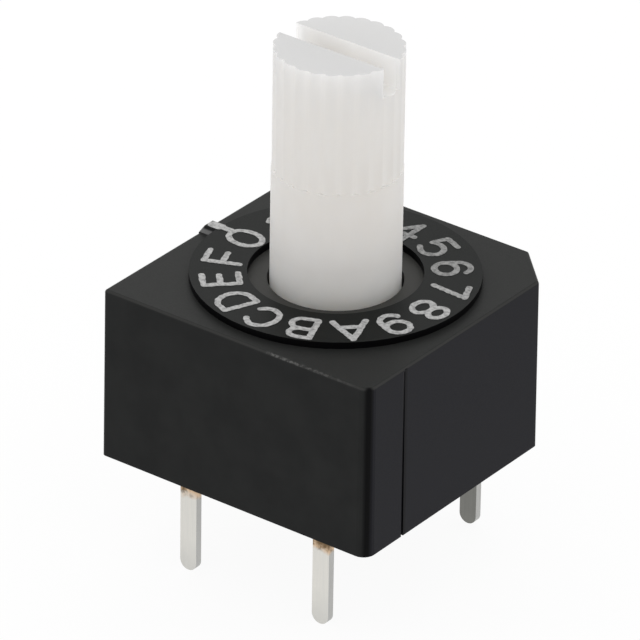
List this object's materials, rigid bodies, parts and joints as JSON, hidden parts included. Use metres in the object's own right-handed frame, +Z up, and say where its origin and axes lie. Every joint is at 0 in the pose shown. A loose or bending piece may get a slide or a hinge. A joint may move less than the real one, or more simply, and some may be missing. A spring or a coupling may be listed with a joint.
{
  "type": "rotary coded switch",
  "caption": "Square board-mounted rotary coded switch with a raised dial ring, a tall fluted shaft that turns through detents, and flat terminals.",
  "frame": {"origin": "middle of the seating plane, where the housing and base meet the circuit board", "axes": "+Z up along the shaft's axis, -X towards the index rib, -Y towards the row of two terminals; the cut corner lies between +X and +Y"},
  "size_m": [0.01, 0.01, 0.0173],
  "materials": {
    "housing_plastic": "fine matt black moulding",
    "base_plastic": "matt black moulding",
    "resin": "dark cured resin",
    "shaft_plastic": "white, slightly translucent moulding",
    "seal_rubber": "smooth rubber",
    "spring_steel": "bright rolled strip",
    "contact_metal": "gold-coloured plating",
    "terminal_metal": "dull bright plating, stained brown near the roots"
  },
  "bodies": {
    "switch_body": {"housing": "housing_plastic", "base": "base_plastic", "sealing_bead": "resin", "sealing_ring": "seal_rubber", "click_spring": "spring_steel", "terminal_1": "terminal_metal", "terminal_2": "terminal_metal", "terminal_4": "terminal_metal", "terminal_8": "terminal_metal", "terminal_common": "terminal_metal"},
    "rotor": {"shaft": "shaft_plastic", "coded_disc": "contact_metal"}
  },
  "joints": [
    {"name": "dial", "type": "hinge", "parent": "switch_body", "child": "rotor", "pos_m": [0, 0, 0], "axis": [0, 0, 1], "continuous": true, "deforming": ["click_spring"]}
  ]
}
